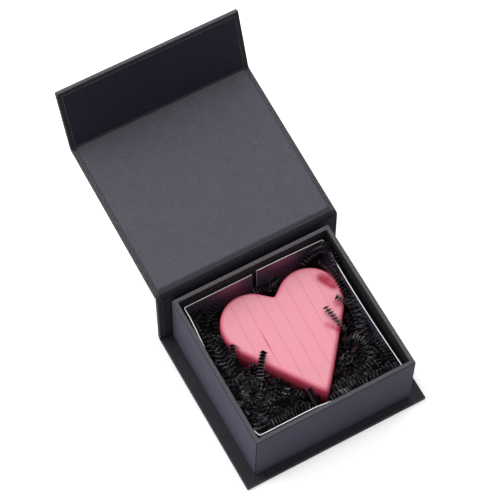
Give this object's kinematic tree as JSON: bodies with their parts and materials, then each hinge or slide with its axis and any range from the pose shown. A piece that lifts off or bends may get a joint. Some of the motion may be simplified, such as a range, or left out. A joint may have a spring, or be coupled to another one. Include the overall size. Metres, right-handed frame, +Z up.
{
  "type": "gift box",
  "caption": "Square book-style rigid gift box with folding spine, lid and magnetic front flap, holding a thick grooved heart on black crinkle paper shred.",
  "frame": {"origin": "on the underside of the base, below the middle of the tray", "axes": "+X along the folds to the right, +Y to the back, where the spine and the open lid are, +Z up"},
  "size_m": [0.0978, 0.1907, 0.0857],
  "materials": {
    "covering_paper": "matte",
    "lining_paper": "matte",
    "greyboard": "matte",
    "stay_paper": "matte",
    "coated_board": "gloss",
    "shred_mass": "matte",
    "crinkle_paper": "satin",
    "heart_pink": "satin",
    "magnet_plating": "polished",
    "strike_steel": "satin"
  },
  "bodies": {
    "box": {"base_board": "greyboard", "base_cover": "covering_paper", "base_hinge_cover": "covering_paper", "tray_floor_board": "greyboard", "tray_front_board": "greyboard", "tray_back_board": "greyboard", "tray_left_board": "greyboard", "tray_right_board": "greyboard", "tray_corner_stays": "stay_paper", "tray_cover": "covering_paper", "tray_floor_lining": "lining_paper", "strike_discs": "strike_steel", "insert_collar": "coated_board", "shred_bed": "shred_mass", "crinkle_strips": "crinkle_paper", "heart": "heart_pink"},
    "spine": {"spine_board": "greyboard", "spine_cover": "covering_paper", "spine_lining": "lining_paper", "lid_hinge_cover": "covering_paper", "lid_hinge_lining": "lining_paper"},
    "lid": {"lid_board": "greyboard", "lid_cover": "covering_paper", "lid_lining": "lining_paper", "flap_hinge_cover": "covering_paper", "flap_hinge_lining": "lining_paper"},
    "flap": {"flap_board": "greyboard", "flap_cover": "covering_paper", "flap_lining": "lining_paper", "flap_magnets": "magnet_plating"}
  },
  "joints": [
    {"name": "base_fold", "type": "hinge", "parent": "box", "child": "spine", "pos_m": [0, 0.04326, 0.0014], "axis": [1, 0, 0], "range_deg": [-27, 1.47], "deforming": ["base_hinge_cover"]},
    {"name": "lid_fold", "type": "hinge", "parent": "spine", "child": "lid", "pos_m": [0, 0.04433, 0.04326], "axis": [1, 0, 0], "range_deg": [0, 174.59], "deforming": ["lid_hinge_cover", "lid_hinge_lining"]},
    {"name": "flap_fold", "type": "hinge", "parent": "lid", "child": "flap", "pos_m": [0, 0.13241, 0.04932], "axis": [1, 0, 0], "range_deg": [-68.47, 25.03], "deforming": ["flap_hinge_cover", "flap_hinge_lining"]}
  ]
}
